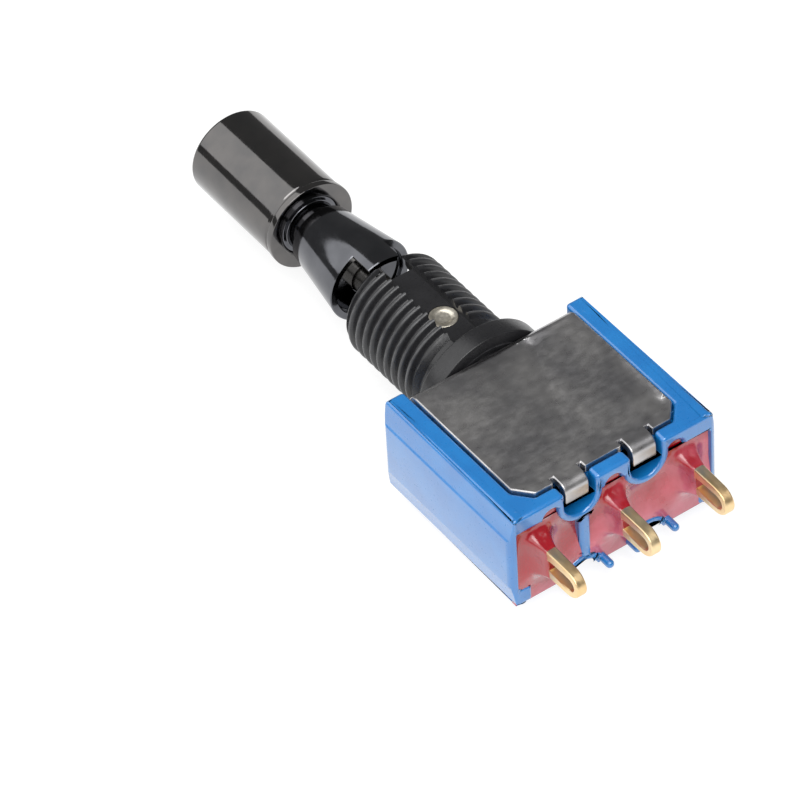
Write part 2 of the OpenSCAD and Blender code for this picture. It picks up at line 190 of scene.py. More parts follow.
def soft_panel(name, towards, distance, size, radiance):
    """A rectangle of light facing the switch. Its power is pi times its area times the
    brightness of its face."""
    data = bpy.data.lights.new(name, "AREA")
    data.shape = "RECTANGLE"
    data.size, data.size_y = size
    data.energy = math.pi * size[0] * size[1] * radiance
    panel = bpy.data.objects.new(name, data)
    bpy.context.scene.collection.objects.link(panel)
    facing = Vector(towards).normalized()
    across = Vector((0, 1, 0)).cross(facing).normalized()
    turn = Matrix((across, facing.cross(across), facing)).transposed().to_4x4()
    turn.translation = facing * distance
    panel.matrix_world = turn
    panel.visible_camera = False
    return panel


bpy.context.scene.world = white_seen_world(WORLD_GREY)
soft_panel("left_panel", (-0.56, 0.0, 0.83), 0.6, (0.94, 1.8), 1.25)
soft_panel("front_panel", (-0.1, -0.55, 0.83), 0.6, (0.42, 0.42), 3.0)
bpy.context.scene.view_settings.view_transform = "Standard"

# %% [markdown]
# ## Surfaces from numbers
#
# The turned parts could be made with a screw modifier, but a thread, teeth and a meniscus need
# a shape that changes with two parameters. So each new piece is a grid of points worked out as
# whole numpy arrays, and the grid's cells become its faces.

# %% Grid and lathe helpers
TAU = 2 * math.pi


def grid_faces(rows, cols, close_cols=False, first=0):
    """Quads of a grid: cell (i, j) joins points i and i + 1 with j and j + 1, and the last
    column joins the first where the grid is closed."""
    i = np.arange(rows - 1)[:, None]
    j = np.arange(cols if close_cols else cols - 1)[None, :]
    k = (j + 1) % cols
    cells = np.stack([i * cols + j, i * cols + k, (i + 1) * cols + k, (i + 1) * cols + j], axis=-1)
    return cells.reshape(-1, 4) + first


def lathe_points(profile, angles):
    """A profile of (radius, y) carried round the Y axis: the point at angle a is
    (radius cos a, y, radius sin a)."""
    radius, y = np.asarray(profile, float).T
    angles = np.asarray(angles, float)
    return np.stack([radius[:, None] * np.cos(angles), y[:, None] + 0 * angles,
                     radius[:, None] * np.sin(angles)], axis=-1)


def soften(profile, radius, steps=4):
    """Each corner becomes an arc of about this radius: a parabola from a point on one side to a
    point on the other, at equal distances from the corner, never past the side's middle."""
    points = np.asarray(profile, float)
    before, after = points[:-2] - points[1:-1], points[2:] - points[1:-1]
    reach_a, reach_b = (np.linalg.norm(v, axis=1, keepdims=True) for v in (before, after))
    cut = np.minimum(radius, np.minimum(reach_a, reach_b) / 2)
    t = np.linspace(0, 1, steps)[None, :, None]
    start, end = (points[1:-1] + v / r * cut for v, r in ((before, reach_a), (after, reach_b)))
    arcs = ((1 - t) ** 2 * start[:, None] + 2 * t * (1 - t) * points[1:-1, None]
            + t ** 2 * end[:, None])
    return np.vstack([points[:1], arcs.reshape(-1, 2), points[-1:]])


def shade(mesh, degrees):
    """Smooth shading, with edges sharper than this angle left crisp."""
    mesh.polygons.foreach_set("use_smooth", np.ones(len(mesh.polygons), bool))
    mesh.set_sharp_from_angle(angle=math.radians(degrees))


def skin(name, points, faces, degrees=35):
    """Puts points in millimetres and their faces into an object at the origin. Doubles are
    merged, which closes seams and poles, and then all faces are turned outwards."""
    mesh = bpy.data.meshes.new(name)
    mesh.from_pydata(np.asarray(points, float).reshape(-1, 3) * MM, [], np.asarray(faces).tolist())
    shell = bmesh.new()
    shell.from_mesh(mesh)
    bmesh.ops.remove_doubles(shell, verts=shell.verts, dist=0.0015 * MM)
    bmesh.ops.dissolve_degenerate(shell, edges=shell.edges, dist=0.0005 * MM)
    loose = [edge for edge in shell.edges if edge.is_wire]
    bmesh.ops.delete(shell, geom=loose, context="EDGES")
    bmesh.ops.recalc_face_normals(shell, faces=shell.faces)
    open_edges = sum(not edge.is_manifold for edge in shell.edges)
    shell.to_mesh(mesh)
    shell.free()
    shade(mesh, degrees)
    piece = bpy.data.objects.new(name, mesh)
    bpy.context.scene.collection.objects.link(piece)
    print(f"{name}: {len(mesh.polygons)} faces, {open_edges} open edges")
    return piece


def turned_piece(name, profile, steps, at=(0, 0, 0), upright=False, degrees=35):
    """A closed piece turned about the Y axis, or about Z where it is upright, then moved."""
    points = lathe_points(profile, np.arange(steps) * TAU / steps)
    if upright:
        points = points[..., [0, 2, 1]]
    return skin(name, points + at, grid_faces(len(profile), steps, close_cols=True), degrees)


def dress(piece, body, slot, *replaced):
    """The piece rides on its body, takes the slot's finish and stands for CAD nodes."""
    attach(piece, body)
    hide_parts(*replaced)
    piece.data.materials.clear()
    piece.data.materials.append(finishes[slot])


# %% [markdown]
# ## Rounded copies of CAD pieces
#
# A moulded or sheared edge is never sharp. A Bevel modifier rounds edges, but one width for
# all of them folds over itself on narrow strips, so each edge gets a weight from the room
# beside it. A CAD mesh is also cut into triangles, so its flat regions are joined first. A
# region with a hole in it stays in triangles, because one face can't hold a hole.

# %% Flat regions
def flat_regions(shell, degrees=0.6):
    """Groups of joined faces that lie within this angle of the group's first face."""
    limit, seen, regions = math.cos(math.radians(degrees)), set(), []
    for first in shell.faces:
        if first in seen:
            continue
        seen.add(first)
        region = [first]
        for face in region:
            for edge in face.edges:
                for other in edge.link_faces:
                    if other not in seen and other.normal.dot(first.normal) > limit:
                        seen.add(other)
                        region.append(other)
        regions.append(region)
    return regions


def is_holed(region):
    """Euler's count: points less edges plus faces is 1 on a sheet without a hole."""
    points = {point for face in region for point in face.verts}
    edges = {edge for face in region for edge in face.edges}
    return len(points) - len(edges) + len(region) != 1


def outline_of(region):
    """The two ends of each edge between the region and the rest."""
    inside = set(region)
    return np.array([[point.co[:] for point in edge.verts] for face in region
                     for edge in face.edges if not inside.issuperset(edge.link_faces)])


# %% Room beside an edge
def room_beside(edge, face, outline):
    """Distance from the edge's middle to the outline, along a line that lies in the face and
    leaves the edge at a right angle."""
    start, end = (np.array(point.co) for point in edge.verts)
    along = (end - start) / np.linalg.norm(end - start)
    middle = (start + end) / 2
    across = np.cross(np.array(face.normal), along)
    if (np.array(face.calc_center_median()) - middle) @ across < 0:
        across = -across
    u, v = (outline - middle) @ along, (outline - middle) @ across
    run = np.where(np.abs(u[:, 1] - u[:, 0]) > 1e-12, u[:, 1] - u[:, 0], np.inf)
    met = v[:, 0] - (v[:, 1] - v[:, 0]) * u[:, 0] / run
    met = met[(u[:, 0] * u[:, 1] <= 0) & (met > 0.002 * MM)]
    return met.min(initial=1.0)


# %% Copies with rounded edges
def volume_of(mesh):
    """Closed volume in cubic millimetres: a piece that a cut has emptied shows at once."""
    shell = bmesh.new()
    shell.from_mesh(mesh)
    volume = shell.calc_volume() / MM ** 3
    shell.free()
    return volume


def copy_of(node, name):
    """A merged copy of a CAD node, which can be cut. A CAD mesh is loose triangles at first."""
    mesh = nodes[node].data.copy()
    mesh.name = name
    mesh.materials.clear()
    shell = bmesh.new()
    shell.from_mesh(mesh)
    bmesh.ops.remove_doubles(shell, verts=shell.verts, dist=0.001 * MM)
    shell.to_mesh(mesh)
    shell.free()
    piece = bpy.data.objects.new(name, mesh)
    bpy.context.scene.collection.objects.link(piece)
    print(f"{name}: {volume_of(mesh):.1f} mm3")
    return piece


def round_off(piece, width, segments=2, degrees=30):
    """Rounds the piece's sharp edges, each by the width or by 0.45 of the room beside it. Points
    that the modifier throws off the piece go back to its surface."""
    shell = bmesh.new()
    shell.from_mesh(piece.data)
    bmesh.ops.remove_doubles(shell, verts=shell.verts, dist=0.001 * MM)
    bmesh.ops.dissolve_degenerate(shell, edges=shell.edges, dist=0.0005 * MM)
    bmesh.ops.triangulate(shell, faces=shell.faces)
    shell.normal_update()
    surface, regions = BVHTree.FromBMesh(shell), flat_regions(shell)
    outlines = {}
    for region in regions:
        outlines.update(dict.fromkeys(region, outline_of(region)))
    weight = shell.edges.layers.float.new("bevel_weight_edge")
    for edge in shell.edges:
        if edge.is_manifold and edge.calc_face_angle(0) > math.radians(degrees):
            room = min(room_beside(edge, face, outlines[face]) for face in edge.link_faces)
            edge[weight] = min(1, 0.45 * room / (width * MM))
    for region in regions:
        if len(region) > 1 and not is_holed(region):
            bmesh.ops.dissolve_faces(shell, faces=region)
    shell.to_mesh(piece.data)
    shell.free()
    shade(piece.data, degrees)
    bevel = piece.modifiers.new("soft edges", "BEVEL")
    bevel.width, bevel.segments, bevel.limit_method = width * MM, segments, "WEIGHT"
    bevel.use_clamp_overlap, bevel.harden_normals = False, True
    carve(piece)
    for point in piece.data.vertices:
        nearest, _, _, distance = surface.find_nearest(point.co)
        if distance > 0.6 * width * MM:
            point.co = nearest


# %% Carving
def carve(piece, *cutters, operation="DIFFERENCE"):
    """Takes the cutters' solids out of the piece, or adds them with UNION. Fixes what its
    modifiers did, and removes the cutters."""
    for cutter in cutters:
        cut = piece.modifiers.new(cutter.name, "BOOLEAN")
        cut.operation, cut.solver, cut.object = operation, "EXACT", cutter
    graph = bpy.context.evaluated_depsgraph_get()
    carved = bpy.data.meshes.new_from_object(piece.evaluated_get(graph))
    piece.modifiers.clear()
    piece.data = carved
    for cutter in cutters:
        bpy.data.objects.remove(cutter)
    print(f"{piece.name}: {len(carved.polygons)} faces, {volume_of(carved):.1f} mm3")


def box_cutter(name, low, high):
    """A plain block between two corners, in millimetres."""
    low, high = np.array(low, float), np.array(high, float)
    picks = np.array([[i, j, k] for i in (0, 1) for j in (0, 1) for k in (0, 1)])
    faces = [(0, 1, 3, 2), (4, 6, 7, 5), (0, 4, 5, 1), (2, 3, 7, 6), (0, 2, 6, 4), (1, 5, 7, 3)]
    return skin(name, low + picks * (high - low), faces)


# %% [markdown]
# ## Effects that several finishes share
#
# Every finish here is worked out by nodes, and the same four effects return in most of them:
# the fine grain of a mould or a plating bath, paler edges that stand for rubbing and a painted
# edge highlight, a little dust on what faces up, and the streaks that turning or rolling leaves.
# Each is one node group, built once, which puts out a height or a mask for the material to use.

# %% Node helpers
def ink(red, green, blue):
    """A colour given as it looks on a screen, 0 to 255, turned into the linear light that
    shaders use: each part to the power 2.2."""
    return tuple((part / 255) ** 2.2 for part in (red, green, blue)) + (1.0,)


def sums(tree, operation, first, second=0.0, clamp=False):
    """One arithmetic node's result."""
    return put(tree, "Math", {0: first, 1: second}, operation=operation,
               use_clamp=clamp).outputs[0]


def span(tree, value, low, high, to_low=0.0, to_high=1.0):
    """The value, carried from one range to another and held inside it."""
    node = put(tree, "MapRange", {"Value": value, "From Min": low, "From Max": high,
                                  "To Min": to_low, "To Max": to_high})
    return node.outputs["Result"]


def tint(tree, mask, bare, full):
    """A colour between two, where the mask is 0 and where it is 1."""
    return put(tree, "Mix", {0: mask, 6: bare, 7: full}, data_type="RGBA").outputs[2]


def effect(name, inputs, outputs):
    """A new node group with these named sockets. Returns it, its inputs and its outputs."""
    group = bpy.data.node_groups.new(name, "ShaderNodeTree")
    for label, kind, value in inputs:
        socket = group.interface.new_socket(name=label, in_out="INPUT", socket_type=kind)
        if value is not None:
            socket.default_value = value
    for label in outputs:
        group.interface.new_socket(name=label, in_out="OUTPUT", socket_type="NodeSocketFloat")
    given, result = group.nodes.new("NodeGroupInput"), group.nodes.new("NodeGroupOutput")
    return group, given.outputs, result.inputs


FLOAT, VECTOR = "NodeSocketFloat", "NodeSocketVector"


# %% Effect: fine grain
def build_grain():
    """Height is a fine noise, and Blotch a noise twelve times coarser, stretched to 0 to 1."""
    group, given, result = effect("fine grain", [("Vector", VECTOR, None), ("Scale", FLOAT, 6.0)],
                                  ["Height", "Blotch"])
    fine = put(group, "TexNoise", {"Vector": given["Vector"], "Scale": given["Scale"],
                                   "Detail": 4.0})
    coarse_scale = sums(group, "DIVIDE", given["Scale"], 12.0)
    coarse = put(group, "TexNoise", {"Vector": given["Vector"], "Scale": coarse_scale,
                                     "Detail": 2.0})
    group.links.new(fine.outputs["Fac"], result["Height"])
    group.links.new(span(group, coarse.outputs["Fac"], 0.35, 0.65), result["Blotch"])
    return group


grain = build_grain()
print("effect:", grain.name)


# %% Effect: edge rubbing and highlight
def build_edge_wear_and_highlight():
    """Near an edge the normal of a rounded surface leaves the true normal: the mask is one less
    their dot product, times Strength, broken up by a noise."""
    group, given, result = effect("edge rubbing and highlight", [("Vector", VECTOR, None),
                                                 ("Radius", FLOAT, 0.0001),
                                                 ("Strength", FLOAT, 6.0)], ["Mask"])
    # This mask marks the edges that finishes paint paler, for rubbing and as a painted highlight.
    rounded = put(group, "Bevel", {"Radius": given["Radius"]}, samples=6)
    true = put(group, "NewGeometry")
    same = put(group, "VectorMath", {0: rounded.outputs[0], 1: true.outputs["Normal"]},
               operation="DOT_PRODUCT").outputs["Value"]
    edge = sums(group, "MULTIPLY", sums(group, "SUBTRACT", 1.0, same), given["Strength"])
    noise = put(group, "TexNoise", {"Vector": given["Vector"], "Scale": 3.0, "Detail": 5.0})
    broken = span(group, noise.outputs["Fac"], 0.35, 0.65, 0.45, 1.0)
    group.links.new(sums(group, "MULTIPLY", edge, broken, clamp=True), result["Mask"])
    return group


edge_wear_and_highlight = build_edge_wear_and_highlight()
print("effect:", edge_wear_and_highlight.name)


# %% Effect: dust
def build_dust():
    """Specks where a fine noise is high, and only on what faces up: noise above its limit, times
    the normal's height."""
    group, given, result = effect("dust", [("Vector", VECTOR, None), ("Scale", FLOAT, 5.0),
                                           ("Limit", FLOAT, 0.68)], ["Mask"])
    noise = put(group, "TexNoise", {"Vector": given["Vector"], "Scale": given["Scale"],
                                    "Detail": 6.0, "Roughness": 0.7})
    above = sums(group, "SUBTRACT", noise.outputs["Fac"], given["Limit"])
    specks = sums(group, "MULTIPLY", above, 12.0, clamp=True)
    normal = put(group, "NewGeometry").outputs["Normal"]
    height = put(group, "SeparateXYZ", {0: normal}).outputs["Z"]
    facing = span(group, height, 0.0, 0.8)
    group.links.new(sums(group, "MULTIPLY", specks, facing), result["Mask"])
    return group


dust = build_dust()
print("effect:", dust.name)


# %% Effect: streaks
def build_streaks():
    """A noise on coordinates that are stretched along one axis, for turned or rolled metal."""
    group, given, result = effect("streaks", [("Vector", VECTOR, None),
                                              ("Stretch", VECTOR, (1, 1, 1)),
                                              ("Scale", FLOAT, 8.0)], ["Height"])
    drawn = put(group, "VectorMath", {0: given["Vector"], 1: given["Stretch"]},
                operation="MULTIPLY").outputs[0]
    noise = put(group, "TexNoise", {"Vector": drawn, "Scale": given["Scale"], "Detail": 3.0})
    group.links.new(noise.outputs["Fac"], result["Height"])
    return group


streaks = build_streaks()
print("effect:", streaks.name)

# %% [markdown]
# ## Finishes
#
# A finish starts from one shader with its constants on it. The patterns read the piece's own
# coordinates, turned into millimetres, so a scale of 6 is a grain about a sixth of a
# millimetre wide.

# %% Starting a finish
finishes = {}


def start(slot, constants):
    """A material with its shader's constants set, and its coordinates in millimetres."""
    material = bpy.data.materials.new(slot)
    material.use_nodes = True
    tree = material.node_tree
    shader = tree.nodes["Principled BSDF"]
    for name, value in constants.items():
        shader.inputs[name].default_value = value
    metres = put(tree, "TexCoord").outputs["Object"]
    place = put(tree, "VectorMath", {0: metres, "Scale": 1 / MM}, operation="SCALE").outputs[0]
    finishes[slot] = material
    return tree, shader, place


def use(tree, group, inputs):
    """Places an effect's node group with its own values, and returns its outputs."""
    return put(tree, "Group", inputs, node_tree=group).outputs


def emboss(tree, shader, height, depth):
    """Feeds a height of this depth, in millimetres, to the shader's normal."""
    bump = put(tree, "Bump", {"Height": height, "Distance": depth * MM, "Strength": 1.0})
    tree.links.new(bump.outputs[0], shader.inputs["Normal"])


def feed(tree, shader, **sources):
    """Links each source to the shader's input of the same name."""
    for name, source in sources.items():
        tree.links.new(source, shader.inputs[name.replace("_", " ")])


# %% [markdown]
# ### Blue case
#
# The case is a glossy moulded thermoset: an even, strong blue with a fine grain. Its edges are
# paler, from rubbing and a painted highlight. A clear coat gives it the pale sheen at a low angle.

# %% Blue case
def blue_plastic():
    """Two blues in blotches, edges paler from rubbing and a painted highlight, a little dust and a
    clear coat.
    """
    tree, shader, place = start("case_plastic", {"IOR": 1.55, "Coat Weight": 1.0,
                                                 "Coat Roughness": 0.16, "Coat IOR": 1.8})
    grained = use(tree, grain, {"Vector": place, "Scale": 7.0})
    wear_and_highlight_mask = use(tree, edge_wear_and_highlight, {"Vector": place, "Radius": 0.16 * MM, "Strength": 2.2})["Mask"]
    dusty = use(tree, dust, {"Vector": place, "Scale": 3.5, "Limit": 0.66})["Mask"]
    body = tint(tree, grained["Blotch"], ink(24, 122, 200), ink(30, 131, 209))
    # The pale blue on the edges is rubbing and a painted highlight.
    rubbed_and_highlighted = tint(tree, wear_and_highlight_mask, body, ink(82, 160, 226))
    colour = tint(tree, sums(tree, "MULTIPLY", dusty, 0.3), rubbed_and_highlighted, ink(170, 200, 225))
    feed(tree, shader, Base_Color=colour,
         Roughness=span(tree, grained["Height"], 0.3, 0.7, 0.26, 0.38))
    emboss(tree, shader, grained["Height"], 0.006)


blue_plastic()
print("finish:", list(finishes)[-1])

# %% [markdown]
# ### Red resin
#
# The terminals are sealed in with a poured red resin. It sets with a wavy, shiny skin. Its paler
# pink is a painted glare that follows a slow noise and a slope, and its gloss follows the same
# mask.

# %% Red resin
def poured_resin():
    """A red and a painted pink glare, mixed by a slow noise that leans across the face, under a
    wavy clear skin.
    """
    tree, shader, place = start("red_resin", {"IOR": 1.55, "Coat Weight": 1.0,
                                              "Coat Roughness": 0.14, "Coat IOR": 1.6})
    grained = use(tree, grain, {"Vector": place, "Scale": 9.0})
    glare_noise = put(tree, "TexNoise", {"Vector": place, "Scale": 0.55, "Detail": 3.0}).outputs["Fac"]
    spot = put(tree, "SeparateXYZ", {0: place}).outputs
    # The slope makes the painted glare grow as z falls and as x grows.
    glare_slope = sums(tree, "SUBTRACT", sums(tree, "MULTIPLY", spot["X"], 0.035),
                sums(tree, "MULTIPLY", spot["Z"], 0.1))
    painted_glare = span(tree, sums(tree, "ADD", glare_noise, glare_slope), 0.42, 0.86)
    # The pink end of this colour is a painted glare.
    colour = tint(tree, painted_glare, ink(168, 10, 32), ink(214, 104, 122))
    feed(tree, shader, Base_Color=colour, Roughness=span(tree, painted_glare, 0, 1, 0.2, 0.42))
    waves = put(tree, "TexNoise", {"Vector": place, "Scale": 1.1, "Detail": 2.0}).outputs["Fac"]
    mixed = sums(tree, "ADD", waves, sums(tree, "MULTIPLY", grained["Height"], 0.06))
    emboss(tree, shader, mixed, 0.12)


poured_resin()
print("finish:", list(finishes)[-1])


# %% Base plastic
def base_plastic():
    """A dull red moulding with a fine grain."""
    tree, shader, place = start("base_plastic", {"IOR": 1.5})
    grained = use(tree, grain, {"Vector": place, "Scale": 8.0})
    feed(tree, shader, Base_Color=tint(tree, grained["Blotch"], ink(140, 26, 40), ink(156, 34, 50)),
         Roughness=span(tree, grained["Height"], 0.3, 0.7, 0.4, 0.55))
    emboss(tree, shader, grained["Height"], 0.008)


base_plastic()
print("finish:", list(finishes)[-1])

# %% [markdown]
# ### Metals
#
# The rolled, turned, plated and drawn metals differ in colour, in gloss and in the direction of
# their streaks. One function makes them all, and each metal gives its own values to it.

# %% Metals
def metal(slot, dull, bright, gloss, stretch, grain_scale=9.0, relief=0.004, edge_mask_radius=0.06,
          edge_mask_strength=3.0, edge_wear_and_highlight_colour=None):
    """A metal whose colour runs between two shades in blotches, with streaks in its gloss and
    relief, and edges painted a paler colour for rubbing and as a painted highlight."""
    tree, shader, place = start(slot, {"Metallic": 1.0})
    grained = use(tree, grain, {"Vector": place, "Scale": grain_scale})
    drawn = use(tree, streaks, {"Vector": place, "Stretch": stretch, "Scale": 5.0})["Height"]
    wear_and_highlight_mask = use(tree, edge_wear_and_highlight, {"Vector": place, "Radius": edge_mask_radius * MM,
                            "Strength": edge_mask_strength})["Mask"]
    body = tint(tree, grained["Blotch"], dull, bright)
    feed(tree, shader, Base_Color=tint(tree, wear_and_highlight_mask, body, edge_wear_and_highlight_colour or bright),
         Roughness=span(tree, drawn, 0.3, 0.7, gloss[0], gloss[1]))
    mixed = sums(tree, "ADD", drawn, sums(tree, "MULTIPLY", grained["Height"], 0.5))
    emboss(tree, shader, mixed, relief)


# The steel's near-white edges are a painted glare on the sheared edges, with some rubbing.
metal("frame_steel", ink(176, 175, 177), ink(216, 214, 213), (0.26, 0.4), (0.3, 0.5, 0.5),
      grain_scale=5.0, relief=0.0012, edge_mask_radius=0.08, edge_mask_strength=5.0,
      edge_wear_and_highlight_colour=ink(250, 250, 250))
metal("pin_steel", ink(222, 214, 196), ink(240, 234, 220), (0.3, 0.5), (1, 1, 1), relief=0.01)
metal("rod_metal", ink(150, 147, 140), ink(168, 164, 156), (0.2, 0.32), (1, 4, 1))
metal("spring_steel", ink(176, 176, 178), ink(200, 200, 202), (0.2, 0.35), (1, 1, 1))
metal("contact_metal", ink(196, 150, 84), ink(218, 176, 104), (0.22, 0.36), (1, 1, 3))
metal("contact_silver", ink(205, 205, 206), ink(228, 228, 228), (0.18, 0.3), (1, 1, 1))
metal("retainer_metal", ink(168, 150, 96), ink(190, 170, 112), (0.2, 0.34), (1, 4, 1))
# The gold's cream edges are a painted highlight, with some rubbing.
metal("terminal_gold", ink(250, 214, 160), ink(255, 232, 186), (0.3, 0.46), (1, 0.4, 1),
      relief=0.003, edge_mask_radius=0.1, edge_mask_strength=1.2, edge_wear_and_highlight_colour=ink(255, 243, 212))
# The black metals' paler edges are a painted highlight, with some rubbing.
metal("cap_black", ink(104, 103, 103), ink(112, 110, 109), (0.06, 0.12), (1, 0.3, 1),
      relief=0.0012, edge_wear_and_highlight_colour=ink(150, 148, 146), edge_mask_radius=0.05, edge_mask_strength=1.2)
metal("sleeve_black", ink(96, 97, 101), ink(106, 107, 111), (0.07, 0.13), (1, 0.3, 1),
      relief=0.0014, edge_wear_and_highlight_colour=ink(150, 150, 152), edge_mask_radius=0.05, edge_mask_strength=1.2)
print("finishes:", len(finishes))

# %% [markdown]
# ### Black thread
#
# The bushing is blackened like the lever, but its thread's crests are paler, from the nuts
# that have run over them and from a painted highlight along each crest. The crests are found by
# their distance from the lever's axis.

# %% Black thread
thread_radius = 3.175


def black_thread():
    """Near black, and paler where the distance from the axis is that of the thread's crests:
    rubbing and a painted highlight.
    """
    tree, shader, place = start("bushing_black", {"IOR": 1.6})
    grained = use(tree, grain, {"Vector": place, "Scale": 8.0})
    flat = put(tree, "VectorMath", {0: place, 1: (1, 0, 1)}, operation="MULTIPLY").outputs[0]
    distance = put(tree, "VectorMath", {0: flat}, operation="LENGTH").outputs["Value"]
    crest = span(tree, distance, thread_radius - 0.06, thread_radius)
    inside = span(tree, distance, thread_radius + 0.05, thread_radius + 0.02)
    noise = put(tree, "TexNoise", {"Vector": place, "Scale": 1.6, "Detail": 5.0}).outputs["Fac"]
    rubbed_and_highlighted = sums(tree, "MULTIPLY", sums(tree, "MULTIPLY", crest, inside),
                  span(tree, noise, 0.35, 0.62, 0.25, 0.9))
    body = tint(tree, grained["Blotch"], ink(34, 34, 36), ink(42, 42, 44))
    # The pale crest colour is rubbing by nuts and a painted highlight.
    feed(tree, shader, Base_Color=tint(tree, rubbed_and_highlighted, body, ink(84, 84, 86)),
         Roughness=span(tree, grained["Height"], 0.3, 0.7, 0.26, 0.4))
    emboss(tree, shader, grained["Height"], 0.004)


black_thread()
print("finish:", list(finishes)[-1])


# %% Rubber and white plastic
def matt_plastic(slot, dark, light, gloss, relief):
    """A plain plastic or rubber whose colour runs between two shades."""
    tree, shader, place = start(slot, {"IOR": 1.5})
    grained = use(tree, grain, {"Vector": place, "Scale": 10.0})
    feed(tree, shader, Base_Color=tint(tree, grained["Blotch"], dark, light),
         Roughness=span(tree, grained["Height"], 0.3, 0.7, gloss[0], gloss[1]))
    emboss(tree, shader, grained["Height"], relief)


matt_plastic("seal_rubber", ink(28, 28, 28), ink(40, 40, 40), (0.6, 0.8), 0.01)
matt_plastic("plunger_plastic", ink(222, 218, 204), ink(232, 228, 216), (0.35, 0.5), 0.004)
print("finishes:", sorted(finishes))

# %% [markdown]
# ## Case
#
# The case is one moulding, whose right shape is in the frame already. Moulded edges are never
# sharp, though, and it is their round highlights that make it look moulded, so a copy of it
# gets a Bevel modifier.

# %% Case
case = copy_of("case_shell", "blue_case")

# %% [markdown]
# ### The case's lower edge
#
# Under the terminals the case doesn't repeat its upper rim: the resin runs out over a low sill,
# between two shallow arches that stand on round feet, and a web joins one arch to the pocket
# above it. The CAD has the upper rim's pockets there too. That strip is cut off, and the new
# forms are made as plain closed solids and added to the case, because a union leaves one skin
# with nothing inside. The edges are rounded last: a cut needs a clean closed mesh, and a
# rounded one may touch itself.

# %% Lower edge
CASE_BACK, CASE_LOW, SILL_X, STRIP_Y, OVERLAP = -11.85, -3.1, 5.35, -11.0, 0.05
ARCH_X, ARCH_Z, ARCH_RADIUS, ARCH_WALL = 2.1, -3.5, 1.005, 0.4
ARCH_MIDDLE = ARCH_RADIUS + ARCH_WALL / 2
FOOT_RADIUS, FOOT_REACH, STAND_OFF, CASE_ROUNDING = 0.24, 0.85, 0.02, 0.24


def arch(name, middle):
    """A bent strip along Y: an outer arc and an inner arc about (middle, ARCH_Z), each cut off
    where it meets the case's lower face, at the angle whose sine is rise over radius."""
    loops = []
    for radius in (ARCH_RADIUS + ARCH_WALL, ARCH_RADIUS):
        low = math.asin((CASE_LOW - ARCH_Z) / radius)
        angles = np.linspace(low, math.pi - low, 33)
        loops.append((middle + radius * np.cos(angles), ARCH_Z + radius * np.sin(angles)))
    (outer_x, outer_z), (inner_x, inner_z) = loops
    front = STRIP_Y + OVERLAP
    lines = [(outer_x, CASE_BACK, outer_z), (outer_x, front, outer_z),
             (inner_x, front, inner_z), (inner_x, CASE_BACK, inner_z)]
    grid = np.stack([np.stack(np.broadcast_arrays(*line), -1) for line in lines], axis=1)
    ends = [(0, 1, 2, 3), tuple(len(outer_x) * 4 - 4 + i for i in (3, 2, 1, 0))]
    return skin(name, grid, np.vstack([grid_faces(len(outer_x), 4, close_cols=True), ends]))


def foot(name, middle):
    """A rod along Y with a round end: radius times cos a and sin a for the end's quarter."""
    quarter = np.linspace(math.pi / 2, 0, 7)
    tip = CASE_BACK - FOOT_REACH + FOOT_RADIUS
    profile = np.stack([FOOT_RADIUS * np.cos(quarter), tip - FOOT_RADIUS * np.sin(quarter)], -1)
    profile = np.vstack([profile, [(FOOT_RADIUS, CASE_BACK + 0.3), (0, CASE_BACK + 0.3)]])
    return turned_piece(name, profile, 24, (middle, 0, CASE_LOW + FOOT_RADIUS + STAND_OFF))


# %% Adding the lower edge
def bar_profile(radius, start, end):
    """The outline of a plain round bar along its axis, from one end to the other."""
    return np.array([(0, start), (radius, start), (radius, end), (0, end)])


def arch_hole(middle):
    """A plain round bar as wide as the middle of the arch's wall."""
    return turned_piece("arch_hole", bar_profile(ARCH_MIDDLE, -13, -10.5), 48, (middle, 0, ARCH_Z))


carve(case, box_cutter("old_rim", (-SILL_X, -12.5, -4), (SILL_X, STRIP_Y, -0.7)))
sill = box_cutter("sill", (-SILL_X - STAND_OFF, -11.5, CASE_LOW),
                  (SILL_X + STAND_OFF, STRIP_Y + OVERLAP, -1.9))
carve(sill, arch_hole(-ARCH_X), arch_hole(ARCH_X))
web = box_cutter("web", (-2.2, CASE_BACK + STAND_OFF, -2.36), (-1.5, -11.1, 0.99))
arches = [arch("arch", side * ARCH_X) for side in (-1, 1)]
feet = [foot("foot", side * middle) for side in (-1, 1)
        for middle in (ARCH_X - ARCH_MIDDLE, ARCH_X + ARCH_MIDDLE)]
carve(case, sill, web, *arches, *feet, operation="UNION")
round_off(case, CASE_ROUNDING, segments=4)
dress(case, "housing", "case_plastic", "case_shell")

# %% [markdown]
# ## Frame
#
# The steel frame is folded from sheet. Its folds are in the CAD, and its sheared edges are only
# just softened. Two small punch marks are carved into the upper plate. The lower plate's
# clamping tabs are cut off, because none shows in the arches. The plates are let out by a
# tenth of a millimetre, so that they nearly fill their recess in the case.

# %% Frame
PLATE_BACK, PLATE_TOP = -10.83, 3.24
PUNCH_MARKS = ((1.73, -2.04), (4.47, -9.39))
LET_OUT_X, LET_OUT_Y, FRAME_ROUNDING = 1.02, 1.008, 0.09
frame_piece = copy_of("frame_bracket", "steel_frame")
lower_tabs = box_cutter("lower_tabs", (-3.2, -12.5, -3.4), (3.2, PLATE_BACK, -1.0))
bowl = np.array([(0, -0.12), (0.25, -0.1), (0.5, 0.0), (0.7, 0.1), (0, 0.1)])
dimples = [turned_piece("dimple", bowl, 32, (x, y, PLATE_TOP), upright=True)
           for x, y in PUNCH_MARKS]
carve(frame_piece, lower_tabs, *dimples)
for point in frame_piece.data.vertices:
    point.co.x *= LET_OUT_X
    point.co.y *= LET_OUT_Y
round_off(frame_piece, FRAME_ROUNDING, segments=3)
dress(frame_piece, "housing", "frame_steel", "frame_bracket")

